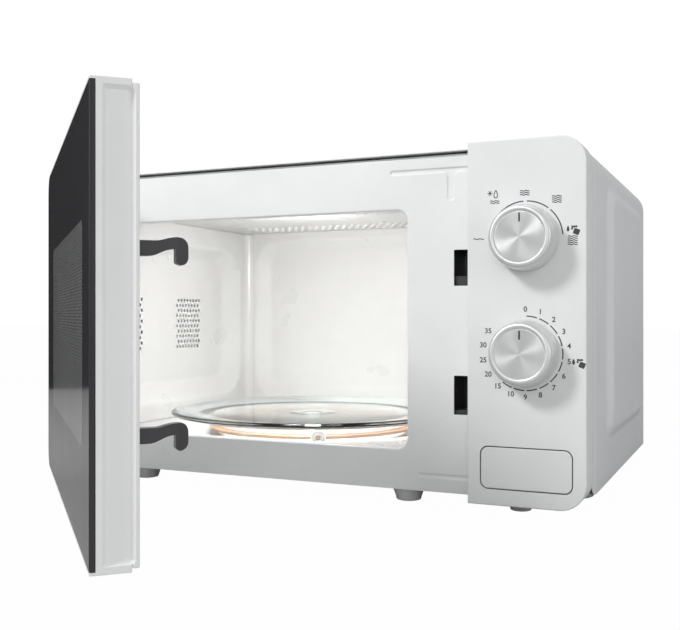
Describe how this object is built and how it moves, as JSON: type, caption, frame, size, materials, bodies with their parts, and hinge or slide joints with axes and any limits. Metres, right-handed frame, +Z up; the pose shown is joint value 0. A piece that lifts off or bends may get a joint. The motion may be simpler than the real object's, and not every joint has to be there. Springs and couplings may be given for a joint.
{
  "type": "microwave oven",
  "caption": "Compact countertop microwave oven, white, side-hinged door half open, rotary knobs, push-button door release, glass turntable.",
  "frame": {"origin": "middle of the whole object's box, door half open, on the table plane under the feet", "axes": "+Z up, the front with the door and the knobs faces -Y, the knobs are at +X"},
  "size_m": [0.4638, 0.569, 0.257],
  "materials": {
    "casing_paint": "satin white powder coat",
    "front_paint": "smooth white paint",
    "cavity_enamel": "glossy white enamel",
    "galvanised_sheet": "zinc-coated sheet",
    "panel_plastic": "fine satin moulding",
    "button_plastic": "fine satin moulding",
    "door_plastic": "satin moulding",
    "door_glass": "dark printed pane",
    "screen_steel": "perforated, dark",
    "choke_paint": "smooth paint",
    "latch_plastic": "black nylon",
    "spring_steel": "wire",
    "knob_aluminium": "spun",
    "tray_glass": "clear pressed glass",
    "ring_moulding": "plain tan",
    "white_nylon": "plain",
    "foot_rubber": "plain grey",
    "magnetron_metal": "pressed fins",
    "capacitor_can": "drawn can",
    "lamination_steel": "varnished laminations",
    "copper_winding": "enamelled wire",
    "black_moulding": "plain",
    "mica_sheet": "layered mica",
    "lamp_glass": "clear bulb",
    "circuit_board": "board with parts"
  },
  "bodies": {
    "cabinet": {"outer_casing": "casing_paint", "back_panel": "galvanised_sheet", "base_plate": "galvanised_sheet", "front_plate": "front_paint", "hinge_top": "galvanised_sheet", "hinge_bottom": "galvanised_sheet", "foot_front_left": "foot_rubber", "foot_front_middle": "foot_rubber", "foot_front_right": "foot_rubber", "foot_rear_left": "foot_rubber", "foot_rear_right": "foot_rubber", "cord_bushing": "black_moulding", "cavity_floor": "cavity_enamel", "cavity_left_wall": "cavity_enamel", "cavity_right_wall": "cavity_enamel", "cavity_back_wall": "cavity_enamel", "cavity_ceiling": "cavity_enamel", "ceiling_panel": "cavity_enamel", "waveguide_cover": "mica_sheet", "oven_lamp": "lamp_glass", "lamp_holder": "white_nylon", "thermal_cutout": "black_moulding", "waveguide": "galvanised_sheet", "magnetron": "magnetron_metal", "transformer_core": "lamination_steel", "primary_coil": "copper_winding", "secondary_coil": "copper_winding", "high_voltage_capacitor": "capacitor_can", "high_voltage_diode": "black_moulding", "fan_bracket": "galvanised_sheet", "fan_motor": "lamination_steel", "noise_filter_board": "circuit_board", "turntable_motor": "galvanised_sheet", "control_panel": "panel_plastic", "power_selector": "white_nylon", "timer_unit": "galvanised_sheet", "latch_body": "latch_plastic", "primary_switch": "black_moulding", "monitor_switch": "black_moulding", "secondary_switch": "black_moulding"},
    "release_button": {"release_button": "button_plastic"},
    "release_lever": {"release_lever": "white_nylon"},
    "power_control": {"power_knob": "knob_aluminium", "power_shaft": "galvanised_sheet"},
    "timer_control": {"timer_knob": "knob_aluminium", "timer_shaft": "galvanised_sheet"},
    "fan": {"fan_blade": "white_nylon"},
    "turntable_drive": {"drive_coupler": "white_nylon"},
    "tray": {"glass_tray": "tray_glass"},
    "roller_ring": {"roller_ring": "ring_moulding"},
    "roller_1": {"roller_1": "white_nylon"},
    "roller_2": {"roller_2": "white_nylon"},
    "roller_3": {"roller_3": "white_nylon"},
    "door": {"door_panel": "door_glass", "door_frame": "door_plastic", "door_screen": "screen_steel", "door_choke": "choke_paint", "door_inner_cover": "door_plastic", "latch_spring": "spring_steel"},
    "latch": {"latch_hooks": "latch_plastic"}
  },
  "joints": [
    {"name": "door_hinge", "type": "hinge", "parent": "cabinet", "child": "door", "pos_m": [-0.2138, -0.01966, 0.13], "axis": [0, 0, -1], "range_deg": [-45.15, 44.85]},
    {"name": "latch_slide", "type": "slide", "parent": "door", "child": "latch", "axis": [0, 0, 1], "range_m": [0, 0.004], "stiffness_N_per_m": 300, "springref_m": -0.01, "deforming": ["latch_spring"]},
    {"name": "button_press", "type": "slide", "parent": "cabinet", "child": "release_button", "axis": [0, 1, 0], "range_m": [0, 0.004], "stiffness_N_per_m": 500, "springref_m": -0.004},
    {"name": "lever_turn", "type": "hinge", "parent": "cabinet", "child": "release_lever", "pos_m": [0.14891, -0.00246, 0.056], "axis": [1, 0, 0], "range_deg": [0, 13.4]},
    {"name": "power_turn", "type": "hinge", "parent": "cabinet", "child": "power_control", "pos_m": [0.18726, -0.03446, 0.1895], "axis": [0, 1, 0], "range_deg": [-90, 90]},
    {"name": "timer_turn", "type": "hinge", "parent": "cabinet", "child": "timer_control", "pos_m": [0.18726, -0.03446, 0.1126], "axis": [0, 1, 0], "range_deg": [0, 300]},
    {"name": "fan_spin", "type": "hinge", "parent": "cabinet", "child": "fan", "pos_m": [0.1654, 0.25354, 0.193], "axis": [0, 1, 0], "continuous": true},
    {"name": "turntable_spin", "type": "hinge", "parent": "cabinet", "child": "turntable_drive", "pos_m": [-0.05359, 0.13369, 0.03], "axis": [0, 0, 1], "continuous": true},
    {"name": "tray_lift", "type": "slide", "parent": "turntable_drive", "child": "tray", "axis": [0, 0, 1], "range_m": [0, 0.03]},
    {"name": "ring_spin", "type": "hinge", "parent": "cabinet", "child": "roller_ring", "pos_m": [-0.05359, 0.13369, 0.0363], "axis": [0, 0, 1], "continuous": true},
    {"name": "roller_1_spin", "type": "hinge", "parent": "roller_ring", "child": "roller_1", "pos_m": [-0.00517, 0.04505, 0.0363], "axis": [0.4794, -0.8776, 0], "continuous": true},
    {"name": "roller_2_spin", "type": "hinge", "parent": "roller_ring", "child": "roller_2", "pos_m": [-0.00105, 0.21994, 0.0363], "axis": [0.5203, 0.854, 0], "continuous": true},
    {"name": "roller_3_spin", "type": "hinge", "parent": "roller_ring", "child": "roller_3", "pos_m": [-0.15457, 0.13607, 0.0363], "axis": [-0.9997, 0.0236, 0], "continuous": true}
  ],
  "couplings": [
    {"joint": "lever_turn", "follows": "button_press", "rad_per_m": 57.596},
    {"joint": "ring_spin", "follows": "turntable_spin", "ratio": 0.5},
    {"joint": "roller_1_spin", "follows": "turntable_spin", "ratio": -7.7692},
    {"joint": "roller_2_spin", "follows": "turntable_spin", "ratio": -7.7692},
    {"joint": "roller_3_spin", "follows": "turntable_spin", "ratio": -7.7692}
  ]
}
